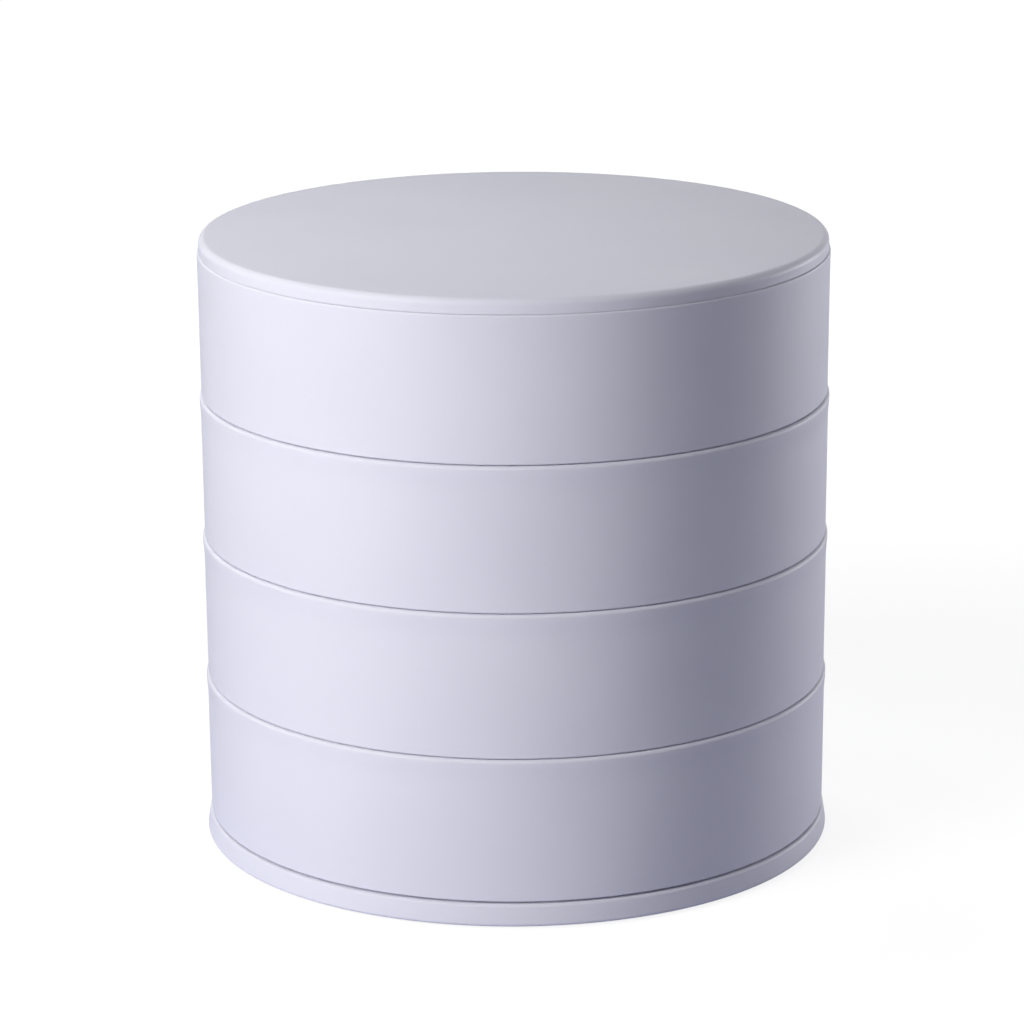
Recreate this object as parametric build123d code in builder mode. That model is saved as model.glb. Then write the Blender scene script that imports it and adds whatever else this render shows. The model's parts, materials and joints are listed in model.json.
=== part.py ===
from build123d import *
import os

os.makedirs("parts", exist_ok=True)

# Rotating jewelry organizer: four round moulded trays that swing out on one long bolt near their edge,
# between a base and a flat lid.
# Millimetres, +Z up. The origin is on the surface that the box stands on, under the middle of the stack.
# The bolt stands at the back, towards +Y. Trays are numbered from the top.

# Heights of the stack, from the surface up
foot_reach = 0.5  # the rubber feet stand out this far under the base
base_height = 3.55
base_gap = 0.35  # shadow line between the base and the lowest tray
tray_height = 23.2
tray_gap = 0.15  # seam between two trays
lid_gap = 0.05
lid_thickness = 2.35

# Round outline and walls of the trays
rim_radius = 51.0
rim_lip = 0.19  # the rim stands this far out past the wall
top_rim_lip = 0.04  # on the top tray, under the lid, it is almost flush
rim_lip_height = 1.0
rim_lip_taper = 2.3
wall_draft = 0.12  # the wall is this much narrower at the floor
wall_thickness = 2.0
floor_thickness = 1.8
rim_outer_edge = 0.6
top_rim_outer_edge = 0.35
rim_inner_edge = 0.5
tray_foot_edge = 0.3
floor_corner = 2.0
gate_radius = 3.0  # shallow dimple under the floor, where the mould was fed
gate_depth = 0.3

# Lid and base, measured from the tray wall
lid_set_in = 0.19  # the top tray's rim shows all round the lid
lid_upper_edge = 1.1
lid_lower_edge = 0.05
base_ledge = 0.71
base_draft = 0.55  # the base is this much narrower at its top
base_upper_edge = 0.6
base_lower_edge = 0.5

# Pivot: a pillar in each tray, a shoulder bolt and the boss under the lid
pillar_radius = 6.0
bolt_radius = 3.0
running_clearance = 0.08  # radial, wherever something turns on the pivot
boss_radius = 4.5
boss_length = 10.0
boss_end_clearance = 0.5
insert_radius = 2.8
insert_length = 7.5
insert_band = 3.0  # knurled band at each end of the insert, with a groove between them
insert_groove = 0.3
insert_hole_spare = 0.5
thread_radius = 2.0
thread_length = 6.5
thread_clearance = 0.05
thread_tip_edge = 0.4

# Friction washers, each let into the underside of the layer above it
washer_radius = 5.5
washer_thickness = 0.8
washer_play = 0.05
washer_seat_clearance = 0.25

# Bolt head, its counterbore under the base and the conical spring washer between them
head_radius = 5.0
head_height = 1.4
head_edge = 0.4
head_clearance = 1.0
hub_floor = 1.2
hub_radius = 8.5
spring_radius = 4.9
spring_thickness = 0.35
spring_rise = 0.23
spring_play = 0.02
drive_span = 4.6
drive_width = 0.9
drive_depth = 1.1
drive_taper = 8  # degrees

# Base moulding
base_plate_thickness = 1.6
base_wall = 2.2
rib_thickness = 1.2
rib_inset = 0.3  # the ribs stop this far above the base's lower face
rib_count = 12
rib_ring_radius = 16.0
foot_radius = 5.0
foot_circle_radius = 38.0
foot_count = 4
foot_seat_depth = 0.9
foot_seat_wall = 1.5
foot_clearance = 0.1
foot_edge = 0.2

# Compartment walls
divider_thickness = 1.4
divider_drop = 1.0  # from the rim down to the top of a divider
divider_foot = 0.8
divider_top_edge = 0.5
ring_wall_y = 16.0  # tray 1: ring rolls in front of this wall
quarter_wall_y = -2.0  # tray 2: four compartments
third_wall_y = 8.0  # tray 3: three compartments

# Ring rolls of tray 1, on their card
roll_count = 6
roll_height = 12.0
roll_gap = 0.3
roll_crown = 4.4
roll_lower_edge = 0.8
soft_clearance = 0.4
card_thickness = 1.0

# Places that follow from the sizes
wall_top_radius = rim_radius - rim_lip
wall_floor_radius = wall_top_radius - wall_draft
inner_top_radius = wall_top_radius - wall_thickness
inner_floor_radius = wall_floor_radius - wall_thickness
mid_wall_radius = wall_floor_radius - wall_thickness / 2
lid_radius = wall_top_radius - lid_set_in
base_radius = wall_floor_radius + base_ledge
pivot_y = inner_floor_radius - pillar_radius
base_top = foot_reach + base_height
tray_pitch = tray_height + tray_gap
tray_1_bottom, tray_2_bottom, tray_3_bottom, tray_4_bottom = (
    base_top + base_gap + layers_below * tray_pitch for layers_below in (3, 2, 1, 0)
)
lid_bottom = tray_1_bottom + tray_height + lid_gap
lid_top = lid_bottom + lid_thickness
boss_bottom = lid_bottom - boss_length
bore_radius = bolt_radius + running_clearance
socket_radius = boss_radius + running_clearance
washer_seat_radius = washer_radius + washer_seat_clearance
head_top = base_top - hub_floor - spring_thickness - spring_rise - spring_play
head_bottom = head_top - head_height

# Planes and the axis of the pivot
pivot_axis = Axis((0, pivot_y, 0), (0, 0, 1))
pivot_plane = Plane.XZ.offset(-pivot_y)


def corner(section, across, up):
    """The corner of a sketch nearest to a point of its plane."""
    return section.vertices().sort_by_distance((across, up))[0]


def washer_seat_depth(gap):
    """Depth of the recess that leaves a washer standing out to fill a gap, less its play."""
    return washer_thickness + washer_play - gap


def tray_shell(bottom, lip, outer_edge):
    """Floor, round wall, rim lip and pivot pillar of a tray, in one moulding."""
    top = bottom + tray_height
    floor_top = bottom + floor_thickness
    outer_rim_radius = wall_top_radius + lip
    with BuildPart() as shell:
        with BuildSketch(Plane.XZ) as section:
            with BuildLine():
                Polyline(
                    (0, bottom),
                    (wall_floor_radius, bottom),
                    (wall_top_radius, top - rim_lip_height - rim_lip_taper),
                    (outer_rim_radius, top - rim_lip_height),
                    (outer_rim_radius, top),
                    (inner_top_radius, top),
                    (inner_floor_radius, floor_top),
                    (0, floor_top),
                    close=True,
                )
            make_face()
            fillet(corner(section, wall_floor_radius, bottom), tray_foot_edge)
            fillet(corner(section, outer_rim_radius, top), outer_edge)
            fillet(corner(section, inner_top_radius, top), rim_inner_edge)
            fillet(corner(section, inner_floor_radius, floor_top), floor_corner)
        revolve(axis=Axis.Z)
        with BuildSketch(Plane.XY.offset(bottom + floor_thickness / 2)):
            with Locations((0, pivot_y)):
                Circle(pillar_radius)
                Rectangle(2 * pillar_radius, 2 * pillar_radius, align=(Align.CENTER, Align.MIN))
            Circle(mid_wall_radius, mode=Mode.INTERSECT)
        extrude(amount=tray_height - floor_thickness / 2)
        with BuildSketch(Plane.XY.offset(bottom)):
            Circle(gate_radius)
        extrude(amount=gate_depth, mode=Mode.SUBTRACT)
    return shell.part


def divider_section(plane, across, bottom):
    """Cross-section of a divider, with a rounded top and a foot bevelled into the floor."""
    low = bottom + floor_thickness / 2
    floor_top = bottom + floor_thickness
    high = bottom + tray_height - divider_drop
    with BuildSketch(plane) as section:
        with Locations((across, low)):
            Rectangle(divider_thickness, high - low, align=(Align.CENTER, Align.MIN))
            Rectangle(
                divider_thickness + 2 * divider_foot,
                floor_top - low,
                align=(Align.CENTER, Align.MIN),
            )
        chamfer(corner(section, across - divider_thickness / 2, floor_top), divider_foot)
        chamfer(corner(section, across + divider_thickness / 2, floor_top), divider_foot)
        fillet(section.vertices().group_by(Axis.Y)[-1], divider_top_edge)
    return section.sketch


def cross_wall(bottom, y):
    """Divider across a tray from wall to wall, square to the line from the pivot to the middle."""
    section = divider_section(Plane.YZ, y, bottom)
    with BuildPart() as wall:
        extrude(section, amount=rim_radius, both=True)
        with BuildSketch(Plane.XY.offset(bottom)):
            Circle(mid_wall_radius)
        extrude(amount=tray_height, mode=Mode.INTERSECT)
    return wall.part


def spine_wall(bottom, y_back, y_front):
    """Divider along the line from the pivot to the front, between two places on it."""
    section = divider_section(Plane.XZ.offset(-y_back), 0, bottom)
    with BuildPart() as wall:
        extrude(section, amount=y_back - y_front)
    return wall.part


def pivot_cut(bottom, gap):
    """What a tray loses to the pivot: the bolt's bore and the seat of the washer under it."""
    with BuildPart() as cut:
        with BuildSketch(Plane.XY.offset(bottom)):
            with Locations((0, pivot_y)):
                Circle(bore_radius)
        extrude(amount=tray_height)
        with BuildSketch(Plane.XY.offset(bottom)):
            with Locations((0, pivot_y)):
                Circle(washer_seat_radius)
        extrude(amount=washer_seat_depth(gap))
    return cut.part


# Base: a shallow pan, open below, with the hub that houses the bolt head
with BuildPart() as base_plate:
    base_ceiling = base_top - base_plate_thickness
    with BuildSketch(Plane.XZ) as section:
        with BuildLine():
            Polyline(
                (0, base_ceiling),
                (base_radius - base_wall, base_ceiling),
                (base_radius - base_wall, foot_reach),
                (base_radius, foot_reach),
                (base_radius - base_draft, base_top),
                (0, base_top),
                close=True,
            )
        make_face()
        fillet(corner(section, base_radius - base_draft, base_top), base_upper_edge)
        fillet(corner(section, base_radius, foot_reach), base_lower_edge)
    revolve(axis=Axis.Z)
    with BuildSketch(Plane.XY.offset(foot_reach + rib_inset)):
        with PolarLocations(0, rib_count):
            Rectangle(base_radius, rib_thickness, align=(Align.MIN, Align.CENTER))
        Circle(rib_ring_radius, mode=Mode.SUBTRACT)
        Circle(rib_ring_radius)
        Circle(rib_ring_radius - rib_thickness, mode=Mode.SUBTRACT)
        Circle(base_radius - base_wall / 2, mode=Mode.INTERSECT)
    extrude(until=Until.NEXT)
    with BuildSketch(Plane.XY.offset(foot_reach)):
        with Locations((0, pivot_y)):
            Circle(hub_radius)
        with PolarLocations(foot_circle_radius, foot_count, start_angle=180 / foot_count):
            Circle(foot_radius + foot_clearance + foot_seat_wall)
        Circle(base_radius - base_wall / 2, mode=Mode.INTERSECT)
    extrude(amount=base_height - base_plate_thickness / 2)
    with BuildSketch(Plane.XY.offset(foot_reach)):
        with PolarLocations(foot_circle_radius, foot_count, start_angle=180 / foot_count):
            Circle(foot_radius + foot_clearance)
    extrude(amount=foot_seat_depth, mode=Mode.SUBTRACT)
    with Locations(Plane(origin=(0, pivot_y, foot_reach), z_dir=(0, 0, -1))):
        CounterBoreHole(
            radius=bore_radius,
            counter_bore_radius=head_radius + head_clearance,
            counter_bore_depth=base_height - hub_floor,
        )
base_plate.part.label = "base_plate"
export_step(base_plate.part, "parts/base_plate.step")

# Feet: four rubber pads in their seats, written together
with BuildPart() as base_feet:
    with BuildSketch():
        with PolarLocations(foot_circle_radius, foot_count, start_angle=180 / foot_count):
            Circle(foot_radius)
    extrude(amount=foot_reach + foot_seat_depth)
    chamfer(base_feet.edges().group_by(Axis.Z)[0], foot_edge)
base_feet.part.label = "base_feet"
export_step(base_feet.part, "parts/base_feet.step")

# Conical spring washer that presses the layers together
with BuildPart() as spring_washer:
    spring_bottom = head_top + spring_play
    with BuildSketch(pivot_plane):
        with BuildLine():
            Polyline(
                (bore_radius, spring_bottom),
                (spring_radius, spring_bottom + spring_rise),
                (spring_radius, spring_bottom + spring_rise + spring_thickness),
                (bore_radius, spring_bottom + spring_thickness),
                close=True,
            )
        make_face()
    revolve(axis=pivot_axis)
spring_washer.part.label = "spring_washer"
export_step(spring_washer.part, "parts/spring_washer.step")

# Shoulder bolt: its head under the base, its thread in the lid
with BuildPart() as pivot_bolt:
    thread_top = boss_bottom + thread_length
    with BuildSketch(pivot_plane) as section:
        with BuildLine():
            Polyline(
                (0, head_bottom),
                (head_radius, head_bottom),
                (head_radius, head_top),
                (bolt_radius, head_top),
                (bolt_radius, boss_bottom),
                (thread_radius, boss_bottom),
                (thread_radius, thread_top),
                (0, thread_top),
                close=True,
            )
        make_face()
        fillet(corner(section, head_radius, head_bottom), head_edge)
        chamfer(corner(section, thread_radius, thread_top), thread_tip_edge)
    revolve(axis=pivot_axis)
    with BuildSketch(Plane.XY.offset(head_bottom)):
        with Locations((0, pivot_y)):
            Rectangle(drive_span, drive_width)
            Rectangle(drive_width, drive_span)
    extrude(amount=drive_depth, taper=drive_taper, mode=Mode.SUBTRACT)
pivot_bolt.part.label = "pivot_bolt"
export_step(pivot_bolt.part, "parts/pivot_bolt.step")

# Tray 1: ring rolls at the front, two small compartments at the back, and the socket of the lid's boss
tray_1_walls = [
    tray_shell(tray_1_bottom, top_rim_lip, top_rim_outer_edge),
    cross_wall(tray_1_bottom, ring_wall_y),
    spine_wall(tray_1_bottom, pivot_y, ring_wall_y),
]
tray_1_cut = pivot_cut(tray_1_bottom, tray_gap)
with BuildPart() as tray_1:
    add(tray_1_walls)
    add(tray_1_cut, mode=Mode.SUBTRACT)
    with BuildSketch(Plane.XY.offset(boss_bottom - boss_end_clearance)):
        with Locations((0, pivot_y)):
            Circle(socket_radius)
    extrude(amount=boss_length + boss_end_clearance, mode=Mode.SUBTRACT)
tray_1.part.label = "tray_1"
export_step(tray_1.part, "parts/tray_1.step")

# Tray 2: four compartments
tray_2_walls = [
    tray_shell(tray_2_bottom, rim_lip, rim_outer_edge),
    cross_wall(tray_2_bottom, quarter_wall_y),
    spine_wall(tray_2_bottom, pivot_y, -mid_wall_radius),
]
tray_2_cut = pivot_cut(tray_2_bottom, tray_gap)
with BuildPart() as tray_2:
    add(tray_2_walls)
    add(tray_2_cut, mode=Mode.SUBTRACT)
tray_2.part.label = "tray_2"
export_step(tray_2.part, "parts/tray_2.step")

# Tray 3: one wide compartment at the back and two at the front
tray_3_walls = [
    tray_shell(tray_3_bottom, rim_lip, rim_outer_edge),
    cross_wall(tray_3_bottom, third_wall_y),
    spine_wall(tray_3_bottom, third_wall_y, -mid_wall_radius),
]
tray_3_cut = pivot_cut(tray_3_bottom, tray_gap)
with BuildPart() as tray_3:
    add(tray_3_walls)
    add(tray_3_cut, mode=Mode.SUBTRACT)
tray_3.part.label = "tray_3"
export_step(tray_3.part, "parts/tray_3.step")

# Tray 4: one open compartment
tray_4_walls = tray_shell(tray_4_bottom, rim_lip, rim_outer_edge)
tray_4_cut = pivot_cut(tray_4_bottom, base_gap)
with BuildPart() as tray_4:
    add(tray_4_walls)
    add(tray_4_cut, mode=Mode.SUBTRACT)
tray_4.part.label = "tray_4"
export_step(tray_4.part, "parts/tray_4.step")

# Friction washers: flat nylon rings in their seats, each named for the layer that carries it
washer_places = {
    "lid": (lid_bottom, lid_gap, socket_radius),
    "tray_1": (tray_1_bottom, tray_gap, bore_radius),
    "tray_2": (tray_2_bottom, tray_gap, bore_radius),
    "tray_3": (tray_3_bottom, tray_gap, bore_radius),
    "tray_4": (tray_4_bottom, base_gap, bore_radius),
}
for layer, (layer_bottom, gap_below, hole_radius) in washer_places.items():
    seat_top = layer_bottom + washer_seat_depth(gap_below)
    with BuildPart() as washer:
        with BuildSketch(Plane.XY.offset(seat_top - washer_thickness)):
            with Locations((0, pivot_y)):
                Circle(washer_radius)
                Circle(hole_radius, mode=Mode.SUBTRACT)
        extrude(amount=washer_thickness)
    washer.part.label = f"{layer}_washer"
    export_step(washer.part, f"parts/{layer}_washer.step")

# Lid: a flat disc with a rounded edge, and the boss that turns in tray 1
with BuildPart() as lid:
    with BuildSketch(Plane.XZ) as section:
        with BuildLine():
            Polyline(
                (0, lid_bottom),
                (lid_radius, lid_bottom),
                (lid_radius, lid_top),
                (0, lid_top),
                close=True,
            )
        make_face()
        fillet(corner(section, lid_radius, lid_top), lid_upper_edge)
        fillet(corner(section, lid_radius, lid_bottom), lid_lower_edge)
    revolve(axis=Axis.Z)
    with BuildSketch(Plane.XY.offset(lid_bottom)):
        with Locations((0, pivot_y)):
            Circle(washer_seat_radius)
    extrude(amount=washer_seat_depth(lid_gap), mode=Mode.SUBTRACT)
    with BuildSketch(Plane.XY.offset(boss_bottom)):
        with Locations((0, pivot_y)):
            Circle(boss_radius)
    extrude(amount=boss_length + lid_thickness / 2)
    with BuildSketch(Plane.XY.offset(boss_bottom)):
        with Locations((0, pivot_y)):
            Circle(insert_radius)
    extrude(amount=insert_length + insert_hole_spare, mode=Mode.SUBTRACT)
lid.part.label = "lid"
export_step(lid.part, "parts/lid.step")

# Threaded brass insert in the lid's boss, with a groove round its middle
with BuildPart() as lid_insert:
    insert_top = boss_bottom + insert_length
    with BuildSketch(pivot_plane):
        with BuildLine():
            Polyline(
                (thread_radius + thread_clearance, boss_bottom),
                (insert_radius, boss_bottom),
                (insert_radius, boss_bottom + insert_band),
                (insert_radius - insert_groove, boss_bottom + insert_band),
                (insert_radius - insert_groove, insert_top - insert_band),
                (insert_radius, insert_top - insert_band),
                (insert_radius, insert_top),
                (thread_radius + thread_clearance, insert_top),
                close=True,
            )
        make_face()
    revolve(axis=pivot_axis)
lid_insert.part.label = "lid_insert"
export_step(lid_insert.part, "parts/lid_insert.step")

# Card under the ring rolls
well_radius = inner_floor_radius - soft_clearance
well_back_y = ring_wall_y - divider_thickness / 2 - soft_clearance
card_bottom = tray_1_bottom + floor_thickness
card_back_y = well_back_y - divider_foot
with BuildPart() as ring_card:
    with BuildSketch(Plane.XY.offset(card_bottom)):
        Circle(inner_floor_radius - floor_corner - soft_clearance)
        with Locations((0, card_back_y)):
            Rectangle(
                2 * rim_radius,
                2 * rim_radius,
                align=(Align.CENTER, Align.MAX),
                mode=Mode.INTERSECT,
            )
    extrude(amount=card_thickness)
ring_card.part.label = "ring_card"
export_step(ring_card.part, "parts/ring_card.step")

# Ring rolls: foam bars side by side, trimmed to the round wall
roll_pitch = (well_back_y + well_radius) / roll_count
for number in range(1, roll_count + 1):
    roll_y = well_back_y - (number - 0.5) * roll_pitch
    with BuildPart() as ring_roll:
        with BuildSketch(Plane.YZ) as section:
            with Locations((roll_y, card_bottom + card_thickness)):
                Rectangle(roll_pitch - roll_gap, roll_height, align=(Align.CENTER, Align.MIN))
            fillet(section.vertices().group_by(Axis.Y)[-1], roll_crown)
            fillet(section.vertices().group_by(Axis.Y)[0], roll_lower_edge)
        extrude(amount=well_radius, both=True)
        with BuildSketch(Plane.XY.offset(card_bottom)):
            Circle(well_radius)
        extrude(amount=tray_height, mode=Mode.INTERSECT)
    ring_roll.part.label = f"ring_roll_{number}"
    export_step(ring_roll.part, f"parts/ring_roll_{number}.step")
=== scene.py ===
import json
import math

import bpy
import numpy as np
from mathutils import Matrix, Vector


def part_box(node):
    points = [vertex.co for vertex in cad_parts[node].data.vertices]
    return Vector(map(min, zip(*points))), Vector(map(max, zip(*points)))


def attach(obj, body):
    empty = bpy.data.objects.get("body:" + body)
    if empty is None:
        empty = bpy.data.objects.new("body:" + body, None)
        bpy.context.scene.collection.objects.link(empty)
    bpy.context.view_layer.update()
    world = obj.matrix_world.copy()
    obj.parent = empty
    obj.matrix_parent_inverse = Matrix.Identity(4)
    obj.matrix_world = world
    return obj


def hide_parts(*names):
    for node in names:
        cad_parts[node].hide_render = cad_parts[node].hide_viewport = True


# Round jewelry box of four swivel trays: satin white moulded plastic, photographed on white.
# Blender's lengths are metres. Sizes that a maker would give in millimetres are written as such,
# times MM.
MM = 0.001

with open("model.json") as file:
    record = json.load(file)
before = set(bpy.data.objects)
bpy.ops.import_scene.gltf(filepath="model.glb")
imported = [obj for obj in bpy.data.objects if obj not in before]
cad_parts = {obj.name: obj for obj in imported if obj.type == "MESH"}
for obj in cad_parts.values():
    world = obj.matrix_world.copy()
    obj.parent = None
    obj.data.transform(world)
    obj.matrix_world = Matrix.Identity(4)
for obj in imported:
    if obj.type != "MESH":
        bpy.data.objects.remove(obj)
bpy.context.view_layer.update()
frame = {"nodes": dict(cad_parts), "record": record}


# Colours, nodes and materials

NOISE_RANGE = {"From Min": 0.3, "From Max": 0.7}  # most of a noise's values lie in it
MIX_FIRST, MIX_SECOND, MIX_RESULT = 6, 7, 2  # a Mix node's colour sockets, which share their names


def srgb(code):
    """Linear RGBA of a hex colour as it looks on a screen."""
    channels = np.array([int(code[i : i + 2], 16) for i in (1, 3, 5)]) / 255
    linear = np.where(channels <= 0.04045, channels / 12.92, ((channels + 0.055) / 1.055) ** 2.4)
    return (*linear.tolist(), 1.0)


def lumps(size):
    """Scale of a noise whose lumps are about so many millimetres across."""
    return 1 / (size * MM)


def add(tree, kind, settings=None, links=None):
    """Adds a node, sets its properties and socket values, and feeds its sockets from other sockets
    or from other nodes' first outputs."""
    node = tree.nodes.new(kind)
    for key, value in (settings or {}).items():
        if isinstance(key, str) and hasattr(node, key):
            setattr(node, key, value)
        else:
            node.inputs[key].default_value = value
    for key, source in (links or {}).items():
        output = source.outputs[0] if isinstance(source, bpy.types.Node) else source
        tree.links.new(output, node.inputs[key])
    return node


def blank_material(name):
    """A material, its tree and its output, which is the tree's only node."""
    made = bpy.data.materials.new(name)
    made.use_nodes = True
    made.node_tree.nodes.clear()
    return made, made.node_tree, add(made.node_tree, "ShaderNodeOutputMaterial")


def moulded_abs():
    """White ABS, injection moulded against a spark-eroded mould: an even satin with a faint sheen.
    Where the plastic flowed, a faint painted sheen and shade lightens and darkens its colour a
    little.
    The mould's grain is about 0.1 mm; it is drawn at 0.4 mm, because the real one is too fine to
    show."""
    made, tree, out = blank_material("white_abs_spark_eroded_moulding")
    place = add(tree, "ShaderNodeTexCoord").outputs["Object"]
    flow_sheen_and_shade = add(tree, "ShaderNodeTexNoise", {"Scale": lumps(26), "Detail": 1}, {"Vector": place})
    satin = add(tree, "ShaderNodeTexNoise", {"Scale": lumps(4), "Detail": 3}, {"Vector": place})
    pits = add(tree, "ShaderNodeTexNoise", {"Scale": lumps(0.4), "Detail": 2}, {"Vector": place})
    bump = add(tree, "ShaderNodeBump", {"Strength": 0.05, "Distance": 0.02 * MM}, {"Height": pits})
    # painted sheen and shade: large lumps where the plastic flowed lighten and darken the colour a
    # little
    share = add(tree, "ShaderNodeMapRange", NOISE_RANGE, {"Value": flow_sheen_and_shade})
    tint = add(
        tree,
        "ShaderNodeMix",
        {"data_type": "RGBA", MIX_FIRST: srgb("#e7e7f2"), MIX_SECOND: srgb("#eaeaf4")},
        {0: share},
    )
    dullness = add(
        tree,
        "ShaderNodeMapRange",
        {**NOISE_RANGE, "To Min": 0.5, "To Max": 0.56},
        {"Value": satin},
    )
    shader = add(
        tree,
        "ShaderNodeBsdfPrincipled",
        {"IOR": 1.5, "Specular IOR Level": 0.35},
        {"Base Color": tint.outputs[MIX_RESULT], "Roughness": dullness, "Normal": bump},
    )
    tree.links.new(shader.outputs[0], out.inputs["Surface"])
    return made


def moulded_rubber():
    """Black rubber, compression moulded: matt, with a dusty pebbled skin of 0.5 mm."""
    made, tree, out = blank_material("black_rubber_moulded_pad")
    place = add(tree, "ShaderNodeTexCoord").outputs["Object"]
    dust = add(tree, "ShaderNodeTexNoise", {"Scale": lumps(3), "Detail": 3}, {"Vector": place})
    pebble = add(tree, "ShaderNodeTexNoise", {"Scale": lumps(0.5), "Detail": 1}, {"Vector": place})
    bump = add(tree, "ShaderNodeBump", {"Strength": 0.3, "Distance": 0.05 * MM}, {"Height": pebble})
    share = add(tree, "ShaderNodeMapRange", NOISE_RANGE, {"Value": dust})
    tint = add(
        tree,
        "ShaderNodeMix",
        {"data_type": "RGBA", MIX_FIRST: srgb("#2b2b2d"), MIX_SECOND: srgb("#38383a")},
        {0: share},
    )
    dullness = add(
        tree,
        "ShaderNodeMapRange",
        {**NOISE_RANGE, "To Min": 0.75, "To Max": 0.9},
        {"Value": dust},
    )
    shader = add(
        tree,
        "ShaderNodeBsdfPrincipled",
        {"IOR": 1.52},
        {"Base Color": tint.outputs[MIX_RESULT], "Roughness": dullness, "Normal": bump},
    )
    tree.links.new(shader.outputs[0], out.inputs["Surface"])
    return made


def turned_metal(name, low, high, roughness, ring):
    """Metal turned on a lathe about the pivot: fine rings, ring mm apart, catch the light."""
    made, tree, out = blank_material(name)
    place = add(tree, "ShaderNodeTexCoord").outputs["Object"]
    centred = add(tree, "ShaderNodeMapping", {"Location": (0, -pivot_y, 0)}, {"Vector": place})
    parts = add(tree, "ShaderNodeSeparateXYZ", None, {0: centred})
    flat = add(tree, "ShaderNodeCombineXYZ", None, {0: parts.outputs[0], 1: parts.outputs[1]})
    radius = add(tree, "ShaderNodeVectorMath", {"operation": "LENGTH"}, {0: flat}).outputs["Value"]
    lathe = add(tree, "ShaderNodeCombineXYZ", None, {0: radius, 1: parts.outputs[2]})
    rings = add(tree, "ShaderNodeTexNoise", {"Scale": lumps(ring), "Detail": 2}, {"Vector": lathe})
    stain = add(tree, "ShaderNodeTexNoise", {"Scale": lumps(5), "Detail": 3}, {"Vector": place})
    bump = add(tree, "ShaderNodeBump", {"Strength": 0.25, "Distance": 0.02 * MM}, {"Height": rings})
    share = add(tree, "ShaderNodeMapRange", NOISE_RANGE, {"Value": stain})
    tint = add(
        tree,
        "ShaderNodeMix",
        {"data_type": "RGBA", MIX_FIRST: srgb(low), MIX_SECOND: srgb(high)},
        {0: share},
    )
    dullness = add(
        tree,
        "ShaderNodeMapRange",
        {**NOISE_RANGE, "To Min": roughness - 0.06, "To Max": roughness + 0.08},
        {"Value": rings},
    )
    shader = add(
        tree,
        "ShaderNodeBsdfPrincipled",
        {"Metallic": 1.0},
        {"Base Color": tint.outputs[MIX_RESULT], "Roughness": dullness, "Normal": bump},
    )
    tree.links.new(shader.outputs[0], out.inputs["Surface"])
    return made


def cut_nylon():
    """Natural nylon sheet, punched: milky, slightly see-through, with a dull face."""
    made, tree, out = blank_material("natural_nylon_punched_washer")
    place = add(tree, "ShaderNodeTexCoord").outputs["Object"]
    milk = add(tree, "ShaderNodeTexNoise", {"Scale": lumps(2), "Detail": 3}, {"Vector": place})
    share = add(tree, "ShaderNodeMapRange", NOISE_RANGE, {"Value": milk})
    tint = add(
        tree,
        "ShaderNodeMix",
        {"data_type": "RGBA", MIX_FIRST: srgb("#dedbcf"), MIX_SECOND: srgb("#e9e6dc")},
        {0: share},
    )
    dullness = add(
        tree,
        "ShaderNodeMapRange",
        {**NOISE_RANGE, "To Min": 0.4, "To Max": 0.5},
        {"Value": milk},
    )
    shader = add(
        tree,
        "ShaderNodeBsdfPrincipled",
        {"IOR": 1.53, "Subsurface Weight": 0.2, "Subsurface Scale": 0.4 * MM},
        {"Base Color": tint.outputs[MIX_RESULT], "Roughness": dullness},
    )
    tree.links.new(shader.outputs[0], out.inputs["Surface"])
    return made


def pressed_board():
    """Grey pressed board: matt, with short fibres and darker flecks."""
    made, tree, out = blank_material("grey_board_pressed")
    place = add(tree, "ShaderNodeTexCoord").outputs["Object"]
    fibre = add(
        tree,
        "ShaderNodeTexNoise",
        {"Scale": lumps(0.6), "Detail": 4, "Roughness": 0.7},
        {"Vector": place},
    )
    bump = add(tree, "ShaderNodeBump", {"Strength": 0.4, "Distance": 0.04 * MM}, {"Height": fibre})
    share = add(tree, "ShaderNodeMapRange", NOISE_RANGE, {"Value": fibre})
    tint = add(
        tree,
        "ShaderNodeMix",
        {"data_type": "RGBA", MIX_FIRST: srgb("#8f8d92"), MIX_SECOND: srgb("#b0aeb3")},
        {0: share},
    )
    shader = add(
        tree,
        "ShaderNodeBsdfPrincipled",
        {"Roughness": 0.9, "IOR": 1.45},
        {"Base Color": tint.outputs[MIX_RESULT], "Normal": bump},
    )
    tree.links.new(shader.outputs[0], out.inputs["Surface"])
    return made


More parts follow.
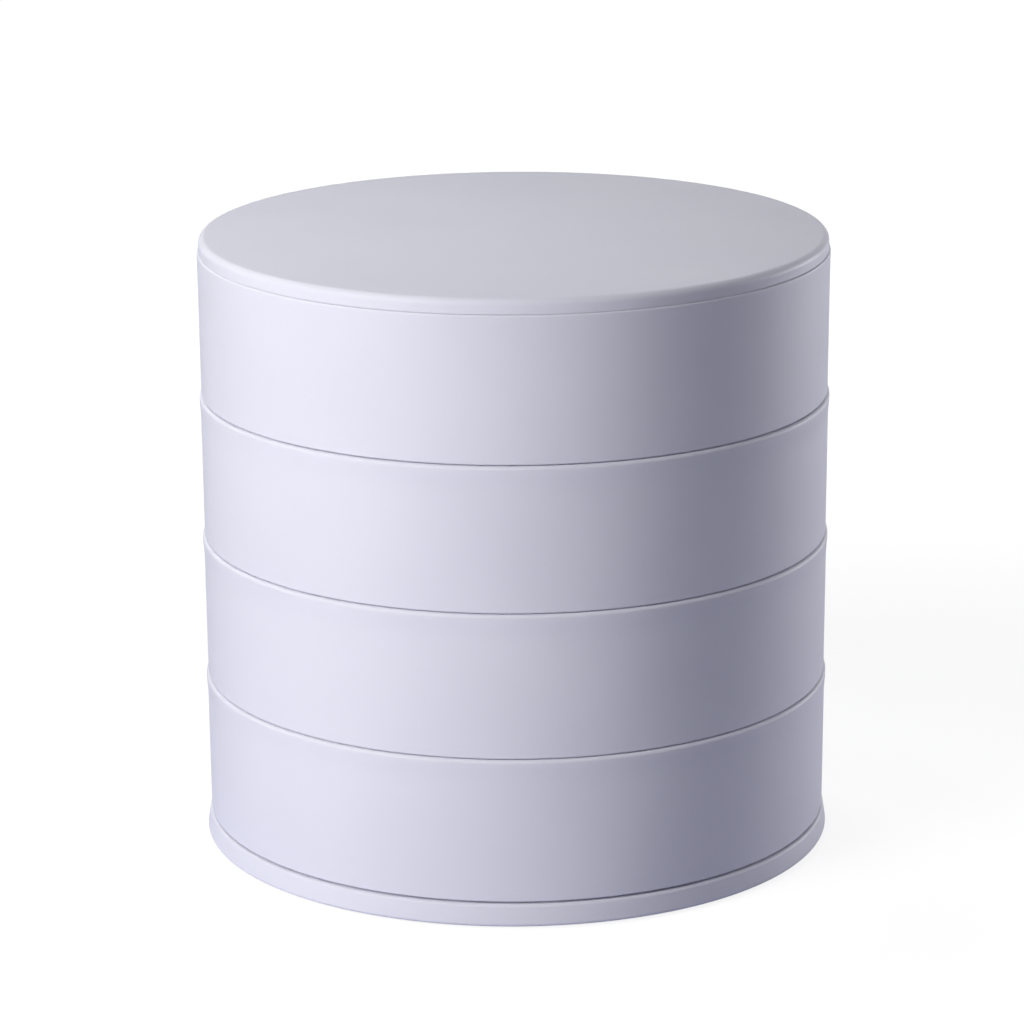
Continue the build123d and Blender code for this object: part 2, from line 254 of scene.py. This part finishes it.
def flocked_velvet():
    """Grey velvet, flocked polyester on a knitted back: short pile with a soft rim of light,
    brushed one way and back in patches, whose lighter and darker look is painted sheen in the
    colour.
    A hair of the pile is 0.05 mm thick; it is drawn at 0.35 mm, as fine as shows, with painted
    shade between the hairs."""
    made, tree, out = blank_material("grey_velvet_flocked")
    place = add(tree, "ShaderNodeTexCoord").outputs["Object"]
    brushed_pile_sheen = add(tree, "ShaderNodeTexNoise", {"Scale": lumps(9), "Detail": 2}, {"Vector": place})
    pile = add(
        tree,
        "ShaderNodeTexNoise",
        {"Scale": lumps(0.35), "Detail": 2, "Roughness": 0.7},
        {"Vector": place},
    )
    # painted sheen: patches of pile brushed one way and back lighten and darken the colour
    share = add(tree, "ShaderNodeMapRange", NOISE_RANGE, {"Value": brushed_pile_sheen})
    tint = add(
        tree,
        "ShaderNodeMix",
        {"data_type": "RGBA", MIX_FIRST: srgb("#8f8b95"), MIX_SECOND: srgb("#a7a3ad")},
        {0: share},
    )
    # painted shade between the hairs of the pile: the pile pattern darkens the colour
    shade = add(
        tree,
        "ShaderNodeMix",
        {"data_type": "RGBA", "blend_type": "MULTIPLY", 0: 0.35},
        {MIX_FIRST: tint.outputs[MIX_RESULT], MIX_SECOND: pile},
    )
    bump = add(tree, "ShaderNodeBump", {"Strength": 0.6, "Distance": 0.12 * MM}, {"Height": pile})
    shader = add(
        tree,
        "ShaderNodeBsdfPrincipled",
        {
            "Roughness": 0.95,
            "IOR": 1.45,
            "Sheen Weight": 0.6,
            "Sheen Roughness": 0.4,
            "Sheen Tint": srgb("#d9d6e0"),
        },
        {"Base Color": shade.outputs[MIX_RESULT], "Normal": bump},
    )
    tree.links.new(shader.outputs[0], out.inputs["Surface"])
    return made


# Moulded shells. Their sections and plans are in millimetres, and the finished mesh is scaled to
# metres.

def rounded(corners):
    """Points of a section whose corners (across, up, radius) are rounded. Each arc touches the two
    sides that meet there, at radius / tan(half their angle) from the corner. One more point just
    outside each end of the arc keeps the shading of the long flat sides flat."""
    corners = np.array(corners, float)
    points = []
    for i, (across, up, radius) in enumerate(corners):
        here = np.array([across, up])
        if radius == 0:
            points.append(here[None])
            continue
        back, ahead = corners[i - 1, :2] - here, corners[i + 1, :2] - here
        back, ahead = back / np.linalg.norm(back), ahead / np.linalg.norm(ahead)
        half = math.acos(back @ ahead) / 2
        middle = here + (back + ahead) / np.linalg.norm(back + ahead) * radius / math.sin(half)
        first = here + back * radius / math.tan(half) - middle
        turn = math.copysign(math.pi - 2 * half, back[1] * ahead[0] - back[0] * ahead[1])
        steps = max(FEWEST_ARC_STEPS, round(QUARTER_ARC_STEPS * abs(turn) / (math.pi / 2)))
        angle = math.atan2(first[1], first[0]) + turn * np.linspace(0, 1, steps + 1)
        arc = middle + radius * np.stack([np.cos(angle), np.sin(angle)], axis=-1)
        points += [(arc[0] + back * ARC_MARGIN)[None], arc, (arc[-1] + ahead * ARC_MARGIN)[None]]
    return np.concatenate(points)


def skin(name, points):
    """A closed mesh from a grid of points whose rows are closed rings. A face covers each end."""
    rows, columns, _ = points.shape
    index = np.arange(rows * columns).reshape(rows, columns)
    after = np.roll(index, -1, axis=1)
    quads = np.stack([index[:-1], after[:-1], after[1:], index[1:]], axis=-1).reshape(-1, 4)
    mesh = bpy.data.meshes.new(name)
    caps = [index[0, ::-1].tolist(), index[-1].tolist()]
    mesh.from_pydata(points.reshape(-1, 3).tolist(), [], quads.tolist() + caps)
    piece = bpy.data.objects.new(name, mesh)
    bpy.context.scene.collection.objects.link(piece)
    return piece


def turned(name, section, centre_y=0.0, around=360):
    """A section (radius, height) turned about the upright line at centre_y, in that many facets:
    (radius * sin t, centre_y + radius * cos t, height)."""
    t = np.linspace(0, 2 * math.pi, around, endpoint=False)
    section = np.array(section, float)[..., None]
    radius, height = section[:, 0], section[:, 1]
    x, y = radius * np.sin(t), centre_y + radius * np.cos(t)
    return skin(name, np.stack(np.broadcast_arrays(x, y, height), axis=-1))


def upright(name, outline, low, high):
    """An outline in plan, anticlockwise from above, carried straight down from high to low."""
    ring = np.concatenate([outline[::-1], np.zeros((len(outline), 1))], axis=-1)
    return skin(name, np.stack([ring + (0, 0, high), ring + (0, 0, low)]))


def divider(name, start, end, floor_top, high, buried):
    """A compartment wall along a line in plan. Its section has a rounded top and a hollow fillet
    into the floor. Its ends are buried that deep in what they meet. Just before that the wall
    widens by r - sqrt(r^2 - (r - s)^2), where s is the distance left, so that the corner has the
    same hollow fillet."""
    hollow = np.radians(np.linspace(270, 180, FOOT_POINTS))
    crown = np.radians(np.linspace(0, 90, CROWN_POINTS))
    foot_across = DIVIDER_HALF + DIVIDER_FOOT
    flank = np.concatenate([
        [(foot_across, floor_top - FLOOR / 2)],
        np.stack([foot_across + DIVIDER_FOOT * np.cos(hollow),
                  floor_top - DIVIDER_SUNK + DIVIDER_FOOT * (1 + np.sin(hollow))], axis=-1),
        np.stack([DIVIDER_HALF + DIVIDER_CROWN * (np.cos(crown) - 1),
                  high + DIVIDER_CROWN * (np.sin(crown) - 1)], axis=-1),
    ])
    section = np.concatenate([flank * (-1, 1), flank[::-1]])
    start, end = np.array(start, float), np.array(end, float)
    length = np.linalg.norm(end - start)
    ahead = (end - start) / length
    side = np.array([ahead[1], -ahead[0]])
    left = DIVIDER_FOOT * (1 - np.cos(np.linspace(0, math.pi / 2, FLARE_POINTS)))
    along = np.concatenate([[0], buried[0] + left, (length - buried[1] - left)[::-1], [length]])
    left = np.minimum(along - buried[0], length - buried[1] - along).clip(0, DIVIDER_FOOT)
    flare = DIVIDER_FOOT - np.sqrt(DIVIDER_FOOT**2 - (DIVIDER_FOOT - left) ** 2)
    across = section[:, 0] + np.sign(section[:, 0]) * flare[:, None]
    plan = start + ahead * along[:, None, None] + side * across[..., None]
    up = np.broadcast_to(section[:, 1, None], (*plan.shape[:2], 1))
    return skin(name, np.concatenate([plan, up], axis=-1))


def moulded(shell, node, body, steps):
    """The shell after its steps, each a union with or a cut by some other pieces, as one closed
    skin in metres. It stands for its CAD node, whose facets are too coarse for the rounded edges,
    and rides on the body."""
    for operation, others in steps:
        group = bpy.data.collections.new(f"{node}_{operation}")
        for other in others:
            group.objects.link(other)
        bpy.context.scene.collection.children.link(group)
        step = shell.modifiers.new(operation, "BOOLEAN")
        step.operation = operation
        step.solver = "MANIFOLD"
        step.operand_type = "COLLECTION"
        step.collection = group
    depsgraph = bpy.context.evaluated_depsgraph_get()
    mesh = bpy.data.meshes.new_from_object(shell.evaluated_get(depsgraph))
    shell.modifiers.clear()
    for _, others in steps:
        for other in others:
            bpy.data.objects.remove(other)
    mesh.transform(Matrix.Scale(MM, 4))
    mesh.polygons.foreach_set("use_smooth", np.ones(len(mesh.polygons), bool))
    mesh.set_sharp_from_angle(angle=math.radians(SHARP_ANGLE))
    mesh.materials.clear()
    mesh.materials.append(finishes["shell_plastic"])
    shell.data = mesh
    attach(shell, body)
    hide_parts(node)


def heights(node):
    """Lowest and highest millimetre of a CAD node."""
    low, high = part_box(node)
    return round(low.z / MM, 3), round(high.z / MM, 3)


def reach(node, centre_y=0.0):
    """Largest radius of a CAD node about the upright line at centre_y, in millimetres."""
    vertices = frame["nodes"][node].data.vertices
    place = np.zeros(len(vertices) * 3, np.float32)
    vertices.foreach_get("co", place)
    across, ahead = place.reshape(-1, 3)[:, 0] / MM, place.reshape(-1, 3)[:, 1] / MM
    return round(float(np.hypot(across, ahead - centre_y).max()), 3)


def tray(number, walls, socket=()):
    """Tray of a round wall, floor, pivot pillar and dividers. The wall narrows to its foot and
    swells to a lip. Each of the walls is a divider's start, its end and how deep its ends are
    buried. The socket is the section of a cut for the boss over it."""
    node = f"tray_{number}"
    bottom, top = heights(node)
    floor_top = bottom + FLOOR
    rim = reach(node)
    shell = turned(f"{node}_moulding", rounded([
        (inner_floor / 2, floor_top, 0),
        (inner_floor, floor_top, FLOOR_CORNER),
        (wall_top - WALL, top, RIM_INNER_EDGE),
        (rim, top, TOP_RIM_OUTER_EDGE if number == 1 else RIM_OUTER_EDGE),
        (rim, top - LIP_HEIGHT, LIP_BLEND),
        (wall_top, top - LIP_HEIGHT - LIP_TAPER, WALL_BLEND),
        (wall_floor, bottom, FOOT_EDGE),
        (GATE_RADIUS, bottom, 0),
        (GATE_RADIUS, bottom + GATE_DEPTH, 0),
        (GATE_RADIUS / 2, bottom + GATE_DEPTH, 0),
    ]))
    front = np.linspace(math.pi, 2 * math.pi, PIVOT_FACETS // 2 + 1)
    outline = np.concatenate([
        [(-PILLAR, pillar_back)],
        np.stack([PILLAR * np.cos(front), pivot + PILLAR * np.sin(front)], axis=-1),
        [(PILLAR, pillar_back)],
    ])
    added = [upright("pillar", outline, floor_top - FLOOR / 2, top)]
    for *line, buried in walls:
        added.append(divider("divider", *line, floor_top, top - DIVIDER_DROP, buried))
    seat_top = heights(f"{node}_washer")[1]
    cutter = turned("pivot_cut", [
        *(socket or [(bore, top + CUT_SPARE)]),
        (bore, seat_top),
        (washer_seat, seat_top),
        (washer_seat, bottom - CUT_SPARE),
    ], pivot, PIVOT_FACETS)
    moulded(shell, node, node, [("UNION", added), ("DIFFERENCE", [cutter])])


def lid():
    """Flat disc with a rounded upper edge, and the boss round the pivot that holds the insert."""
    boss_bottom, top = heights("lid")
    insert_top = heights("lid_insert")[1]
    bottom = top - LID_THICKNESS
    shell = turned("lid_moulding", rounded([
        (wall_floor / 2, top, 0),
        (reach("lid"), top, LID_UPPER_EDGE),
        (reach("lid"), bottom, LID_LOWER_EDGE),
        (wall_floor / 2, bottom, 0),
    ]))
    seat = turned("seat_cut", [
        (washer_seat, heights("lid_washer")[1]),
        (washer_seat, bottom - CUT_SPARE),
    ], pivot, PIVOT_FACETS)
    boss = turned("boss", [
        (BOSS, top - LID_THICKNESS / 2),
        (BOSS, boss_bottom),
        (reach("lid_insert", pivot), boss_bottom),
        (reach("lid_insert", pivot), insert_top + INSERT_SPARE),
    ], pivot, PIVOT_FACETS)
    moulded(shell, "lid", "lid", [("DIFFERENCE", [seat]), ("UNION", [boss])])


def circle(radius, centre, limit=math.inf):
    """Outline in plan of a round post, kept inside a radius about the middle of the stack."""
    t = np.linspace(0, 2 * math.pi, PIVOT_FACETS, endpoint=False)
    outline = np.array(centre) + radius * np.stack([np.cos(t), np.sin(t)], axis=-1)
    return outline * np.minimum(1, limit / np.linalg.norm(outline, axis=-1))[:, None]


def base():
    """Shallow pan, open below, with ribs, a rib ring, seats for the feet and the pivot's hub."""
    low, top = heights("base_plate")
    ceiling = top - BASE_FLOOR
    rim = wall_floor + BASE_LEDGE
    inside = rim - BASE_WALL / 2
    shell = turned("base_plate_moulding", rounded([
        (rim / 2, top, 0),
        (rim - BASE_DRAFT, top, BASE_UPPER_EDGE),
        (rim, low, BASE_LOWER_EDGE),
        (rim - BASE_WALL, low, BASE_INNER_EDGE),
        (rim - BASE_WALL, ceiling, BASE_INNER_EDGE),
        (rim / 2, ceiling, 0),
    ]))
    buried = top - BASE_FLOOR / 2
    ribs = []
    for t in 2 * math.pi * np.arange(RIB_COUNT) / RIB_COUNT:
        ahead = np.array([math.cos(t), math.sin(t)])
        side = np.array([-math.sin(t), math.cos(t)]) * RIB / 2
        start, end = ahead * (RIB_RING - RIB / 2), ahead * inside
        plan = np.array([start - side, end - side, end + side, start + side])
        ribs.append(upright("rib", plan, low + RIB_INSET, buried))
    ring = upright("rib_ring", circle(RIB_RING, (0, 0)), low + RIB_INSET, buried)
    ring_hole = upright("rib_ring_hole", circle(RIB_RING - RIB, (0, 0)), low, ceiling)
    turn = 2 * math.pi * (0.5 + np.arange(FOOT_COUNT)) / FOOT_COUNT
    feet = FOOT_CIRCLE * np.stack([np.cos(turn), np.sin(turn)], axis=-1)
    post = FOOT_SEAT + FOOT_SEAT_WALL
    seats = [upright("foot_seat", circle(post, foot), low, buried) for foot in feet]
    under, foot_top = low - CUT_SPARE, heights("base_feet")[1]
    holes = [upright("foot_hole", circle(FOOT_SEAT, foot), under, foot_top) for foot in feet]
    hub = upright("hub", circle(HUB, (0, pivot), inside), low, buried)
    head_room = turned("head_room", [
        (bore, top + CUT_SPARE),
        (bore, top - HUB_FLOOR),
        (HEAD_ROOM, top - HUB_FLOOR),
        (HEAD_ROOM, low - CUT_SPARE),
    ], pivot, PIVOT_FACETS)
    moulded(shell, "base_plate", "base", [
        ("UNION", [*ribs, ring]),
        ("DIFFERENCE", [ring_hole]),
        ("UNION", [*seats, hub]),
        ("DIFFERENCE", [*holes, head_room]),
    ])


def across_tray(y):
    """Line of a divider from wall to wall, with how deep its ends are buried in the round wall."""
    half = math.sqrt(mid_wall**2 - y**2)
    buried = half - math.sqrt(inner_floor**2 - y**2)
    return (-half, y), (half, y), (buried, buried)


def along_tray(back, front):
    """Line of a divider from the back to the front. Each end is given as where it ends and where
    it shows from."""
    return (0, back[0]), (0, front[0]), (back[0] - back[1], front[1] - front[0])


# Ring rolls

def ring_roll(name, well_radius):
    """A foam bar with a velvet cover, in the space of its CAD bar.

    Round the section, y = cos(t)^0.75, and z = sin(t)^0.85 above the widest line and sin(t)^0.45
    below it, so that the bar is flat where it lies on its card. Along the bar,
    x = v * sqrt(R^2 - y^2), which follows the round wall. Towards the ends the section shrinks as
    (1 - v^14)^(1/2.2), and the cover is gathered there in pleats that deepen as v^20."""
    low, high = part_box(name)
    t = np.linspace(0, 2 * math.pi, ROLL_FACETS, endpoint=False)
    v = np.sin(np.linspace(-math.pi / 2, math.pi / 2, ROLL_STEPS))[:, None]
    around, rise = np.cos(t), np.sin(t)
    across = np.sign(around) * np.abs(around) ** 0.75
    above, below = np.abs(rise) ** 0.85 * (1 - ROLL_WAIST), np.abs(rise) ** 0.45 * ROLL_WAIST
    drawn = ROLL_END + (1 - ROLL_END) * (1 - np.abs(v) ** 14) ** (1 / 2.2)
    drawn = drawn * (1 - PLEAT_DEPTH * (1 + np.cos(PLEATS * t)) / 2 * np.abs(v) ** 20)
    y = (high.y + low.y) / 2 + (high.y - low.y) / 2 * across * drawn
    z = low.z + (high.z - low.z) * (ROLL_WAIST + np.where(rise > 0, above, -below) * drawn)
    x = v * np.sqrt(well_radius**2 - y**2)
    piece = skin(f"velvet_{name}", np.stack([x, y, z], axis=-1))
    piece.data.polygons.foreach_set("use_smooth", np.ones(len(piece.data.polygons), bool))
    piece.data.materials.append(finishes["roll_velvet"])
    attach(piece, "tray_1")
    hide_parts(name)


# Light, floor and camera

def place_at(azimuth, elevation, distance, centre):
    """Point at a distance from a centre: azimuth from the front towards the right, elevation
    upwards, both in degrees."""
    a, e = math.radians(azimuth), math.radians(elevation)
    level = math.cos(e)
    return centre + distance * Vector((math.sin(a) * level, -math.cos(a) * level, math.sin(e)))


def softbox(name, aim, azimuth, elevation, distance, width, height, watts, colour, beam=180):
    """A soft light that faces the point it is aimed at, from so many metres away, with its sides in
    metres. A grid in front of it can narrow its beam, in degrees. The camera doesn't see the lamp
    itself."""
    lamp = bpy.data.lights.new(name, "AREA")
    lamp.color = srgb(colour)[:3]
    lamp.shape = "RECTANGLE"
    lamp.size = width
    lamp.size_y = height
    lamp.energy = watts
    lamp.spread = math.radians(beam)
    made = bpy.data.objects.new(name, lamp)
    made.location = place_at(azimuth, elevation, distance, aim)
    made.rotation_euler = (made.location - aim).to_track_quat("Z", "Y").to_euler()
    made.visible_camera = False
    bpy.context.scene.collection.objects.link(made)


def studio_world():
    """Dim bluish fill light from all round. The camera sees plain white instead, also in what is
    glossy and through what is clear."""
    world = bpy.data.worlds.new("studio")
    world.use_nodes = True
    tree = world.node_tree
    tree.nodes.clear()
    path = add(tree, "ShaderNodeLightPath")
    shown = add(
        tree,
        "ShaderNodeMath",
        {"operation": "MAXIMUM"},
        {0: path.outputs["Is Camera Ray"], 1: path.outputs["Is Glossy Ray"]},
    )
    shown = add(
        tree,
        "ShaderNodeMath",
        {"operation": "MAXIMUM"},
        {0: shown, 1: path.outputs["Is Transmission Ray"]},
    )
    fill = add(
        tree,
        "ShaderNodeBackground",
        {"Color": srgb(FILL_COLOUR), "Strength": FILL_STRENGTH},
    )
    white = add(tree, "ShaderNodeBackground", {"Color": srgb("#ffffff"), "Strength": 1.0})
    mix = add(tree, "ShaderNodeMixShader", None, {0: shown, 1: fill, 2: white})
    out = add(tree, "ShaderNodeOutputWorld", None, {"Surface": mix})
    out.is_active_output = True
    bpy.context.scene.world = world


def studio_floor():
    """Wide white floor, just clear of the feet. The camera sees it lifted to white, a little less
    near the object, where its soft shadow lies."""
    mesh = bpy.data.meshes.new("studio_floor")
    corners = [(-1, -1), (1, -1), (1, 1), (-1, 1)]
    points = [(x * FLOOR_HALF, y * FLOOR_HALF, -FLOOR_DROP) for x, y in corners]
    mesh.from_pydata(points, [], [(0, 1, 2, 3)])
    floor = bpy.data.objects.new("studio_floor", mesh)
    bpy.context.scene.collection.objects.link(floor)
    made, tree, out = blank_material("white_paper_sweep")
    seen = add(tree, "ShaderNodeLightPath").outputs["Is Camera Ray"]
    place = add(tree, "ShaderNodeTexCoord").outputs["Object"]
    away = add(tree, "ShaderNodeVectorMath", {"operation": "LENGTH"}, {0: place}).outputs["Value"]
    lift = add(
        tree,
        "ShaderNodeMapRange",
        {
            "interpolation_type": "SMOOTHSTEP",
            "From Min": SHADOW_REACH[0],
            "From Max": SHADOW_REACH[1],
            "To Min": FLOOR_LIFT,
            "To Max": 1.0,
        },
        {"Value": away},
    )
    bounce = add(tree, "ShaderNodeBsdfDiffuse", {"Color": srgb(FLOOR_COLOUR)})
    shade = (SHADOW_SHARE, SHADOW_SHARE, SHADOW_SHARE, 1)
    shaded = add(tree, "ShaderNodeBsdfDiffuse", {"Color": shade})
    glow = add(tree, "ShaderNodeEmission", {"Color": srgb("#ffffff")}, {"Strength": lift})
    lifted = add(tree, "ShaderNodeAddShader", None, {0: shaded, 1: glow})
    both = add(tree, "ShaderNodeMixShader", None, {0: seen, 1: bounce, 2: lifted})
    tree.links.new(both.outputs[0], out.inputs["Surface"])
    mesh.materials.append(made)


def studio_camera():
    """Camera of the photograph: a long lens in front of the object, looking slightly down on it."""
    fall = math.radians(CAMERA_FALL)
    pan = math.radians(CAMERA_PAN)
    roll = math.radians(CAMERA_ROLL)
    across, along = math.sin(pan) * math.cos(fall), math.cos(pan) * math.cos(fall)
    ahead = Vector((across, along, -math.sin(fall)))
    level = ahead.cross(Vector((0, 0, 1))).normalized()
    above = level.cross(ahead)
    right = math.cos(roll) * level + math.sin(roll) * above
    up = -math.sin(roll) * level + math.cos(roll) * above
    lens = bpy.data.cameras.new("camera")
    lens.sensor_width = 36.0
    lens.lens = CAMERA_LENS
    lens.clip_start = 0.01
    camera = bpy.data.objects.new("camera", lens)
    rise = math.radians(CAMERA_RISE)
    camera.matrix_world = Matrix((
        (right.x, up.x, -ahead.x, 0.0),
        (right.y, up.y, -ahead.y, -CAMERA_DISTANCE * math.cos(rise)),
        (right.z, up.z, -ahead.z, CAMERA_AIM_HEIGHT + CAMERA_DISTANCE * math.sin(rise)),
        (0, 0, 0, 1),
    ))
    bpy.context.scene.collection.objects.link(camera)
    bpy.context.scene.camera = camera


# The camera as the photograph has it: millimetres of lens, metres and degrees
CAMERA_LENS = 145.8
CAMERA_DISTANCE = 0.6793
CAMERA_AIM_HEIGHT = 0.0505
CAMERA_RISE = 15.8
CAMERA_FALL = 15.59
CAMERA_PAN = -0.045
CAMERA_ROLL = -0.342

# Fill light and floor
FILL_COLOUR = "#e2e8ff"
FILL_STRENGTH = 0.002
FLOOR_COLOUR = "#cbcee7"
FLOOR_HALF = 3.0  # metres from the middle to each side
FLOOR_DROP = 0.02 * MM  # clear of the feet's faces, so that the two don't share a plane
FLOOR_LIFT = 0.86  # how white the camera sees the floor under the object, before the light on it
SHADOW_SHARE = 0.3  # of the light on the floor, this much is added for the camera
SHADOW_REACH = (0.1, 0.35)  # metres from the middle where the floor turns plain white

studio_camera()
studio_world()
studio_floor()

# Lamps: what each faces, its azimuth and elevation, how far off it is, its sides, watts and colour
stack_middle = Vector((0, 0, 0.05))
lid_left = Vector((-0.026, -0.004, 0.1))
softbox("key_left_front", stack_middle, -47, 20, 0.55, 0.3, 0.3, 2.07, "#fffef8")
softbox("high_front", stack_middle, -28, 50, 0.6, 0.3, 0.2, 0.6, "#f0efff")
softbox("overhead_grid", lid_left, -130, 72, 0.42, 0.08, 0.08, 0.0168, "#fafaff", beam=38)
softbox("high_back", stack_middle, -160, 40, 0.6, 0.2, 0.2, 0.56, "#fafaff")
softbox("far_right_back", stack_middle, 120, 3, 0.9, 0.35, 0.25, 4.35, "#fefdff")

# Finishes of the CAD pieces
low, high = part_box("pivot_bolt")
pivot_y = (low.y + high.y) / 2
finishes = {
    "shell_plastic": moulded_abs(),
    "foot_rubber": moulded_rubber(),
    "bolt_steel": turned_metal(
        "zinc_plated_steel_turned", "#b4b5b8", "#c6c7c9", roughness=0.32, ring=0.12
    ),
    "spring_steel": turned_metal(
        "spring_steel_pressed", "#85868a", "#9a9b9f", roughness=0.4, ring=0.2
    ),
    "insert_brass": turned_metal("brass_turned", "#b8923f", "#c9a552", roughness=0.3, ring=0.15),
    "washer_nylon": cut_nylon(),
    "roll_velvet": flocked_velvet(),
    "roll_card": pressed_board(),
}
slots = {row["node"]: row["material_slot"] for row in frame["record"]["subparts"]}
for name, node in frame["nodes"].items():
    node.data.materials.clear()
    node.data.materials.append(finishes[slots[name]])

# Moulded shells stand for the CAD ones. Sizes in millimetres, as a mould drawing has them
FLOOR = 1.8
WALL = 2.0
RIM_LIP = 0.19
DRAFT = 0.12
FLOOR_CORNER = 2.0
RIM_INNER_EDGE = 0.5
RIM_OUTER_EDGE = 0.6
TOP_RIM_OUTER_EDGE = 0.35
LIP_HEIGHT = 1.0
LIP_TAPER = 2.3
LIP_BLEND = 4.0
WALL_BLEND = 20.0
FOOT_EDGE = 0.3
GATE_RADIUS = 3.0
GATE_DEPTH = 0.3
PILLAR = 6.0
DIVIDER_HALF = 0.7
DIVIDER_FOOT = 0.8
DIVIDER_CROWN = 0.5
DIVIDER_DROP = 1.0
DIVIDER_SUNK = 0.02  # the fillet starts this far under the floor, so that the skins cross cleanly
BOLT = 3.0
RUNNING_CLEARANCE = 0.08
WASHER_SEAT_CLEARANCE = 0.25
BOSS_END_CLEARANCE = 0.5
LID_THICKNESS = 2.35
LID_UPPER_EDGE = 1.1
LID_LOWER_EDGE = 0.05
BOSS = 4.5
INSERT_SPARE = 0.5
BASE_LEDGE = 0.71
BASE_FLOOR = 1.6
BASE_WALL = 2.2
BASE_DRAFT = 0.55
BASE_UPPER_EDGE = 0.6
BASE_LOWER_EDGE = 0.5
BASE_INNER_EDGE = 0.25
RIB = 1.2
RIB_INSET = 0.3
RIB_COUNT = 12
RIB_RING = 16.0
FOOT_COUNT = 4
FOOT_CIRCLE = 38.0
FOOT_SEAT = 5.1
FOOT_SEAT_WALL = 1.5
HUB = 8.5
HUB_FLOOR = 1.2
HEAD_ROOM = 6.0
RING_WALL_Y = 16.0
QUARTER_WALL_Y = -2.0
THIRD_WALL_Y = 8.0

# How finely the shells are drawn: facets, arc steps, points, millimetres and degrees
PIVOT_FACETS = 96
QUARTER_ARC_STEPS = 10
FEWEST_ARC_STEPS = 4
FOOT_POINTS = 9
CROWN_POINTS = 7
FLARE_POINTS = 8
ARC_MARGIN = 0.08
CUT_SPARE = 1.0  # a cut runs this far past the skin that it opens
SHARP_ANGLE = 32

pivot = round(pivot_y / MM, 3)
bore = BOLT + RUNNING_CLEARANCE
washer_seat = reach("tray_2_washer", pivot) + WASHER_SEAT_CLEARANCE
wall_top = reach("tray_2") - RIM_LIP
wall_floor = wall_top - DRAFT
inner_floor = wall_floor - WALL
mid_wall = wall_floor - WALL / 2
pillar_back = math.sqrt(mid_wall**2 - PILLAR**2)
pillar_front = pivot - PILLAR
boss_bottom = heights("lid")[0]
tray_1_top = heights("tray_1")[1]

at_pillar = (pivot, pillar_front)
at_front = (-mid_wall, -inner_floor)
at_ring_wall = (RING_WALL_Y, RING_WALL_Y + DIVIDER_HALF)
at_third_wall = (THIRD_WALL_Y, THIRD_WALL_Y - DIVIDER_HALF)

lid()
base()
tray(1, [across_tray(RING_WALL_Y), along_tray(at_pillar, at_ring_wall)], [
    (BOSS + RUNNING_CLEARANCE, tray_1_top + CUT_SPARE),
    (BOSS + RUNNING_CLEARANCE, boss_bottom - BOSS_END_CLEARANCE),
    (bore, boss_bottom - BOSS_END_CLEARANCE),
])
tray(2, [across_tray(QUARTER_WALL_Y), along_tray(at_pillar, at_front)])
tray(3, [across_tray(THIRD_WALL_Y), along_tray(at_third_wall, at_front)])
tray(4, [])

# Ring rolls stand for the plain foam bars. The longest of them is as long as the well is wide.
ROLL_FACETS = 96
ROLL_STEPS = 97
ROLL_WAIST = 0.42  # height of the section's widest line, as a share of the roll's height
ROLL_END = 0.18  # what is left of the section at the gathered ends
PLEATS = 16
PLEAT_DEPTH = 0.12

roll_names = sorted(name for name in slots if name.startswith("ring_roll_"))
well_radius = max(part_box(name)[1].x for name in roll_names)
for name in roll_names:
    ring_roll(name, well_radius)

view = bpy.context.scene.view_settings
view.view_transform = "Standard"
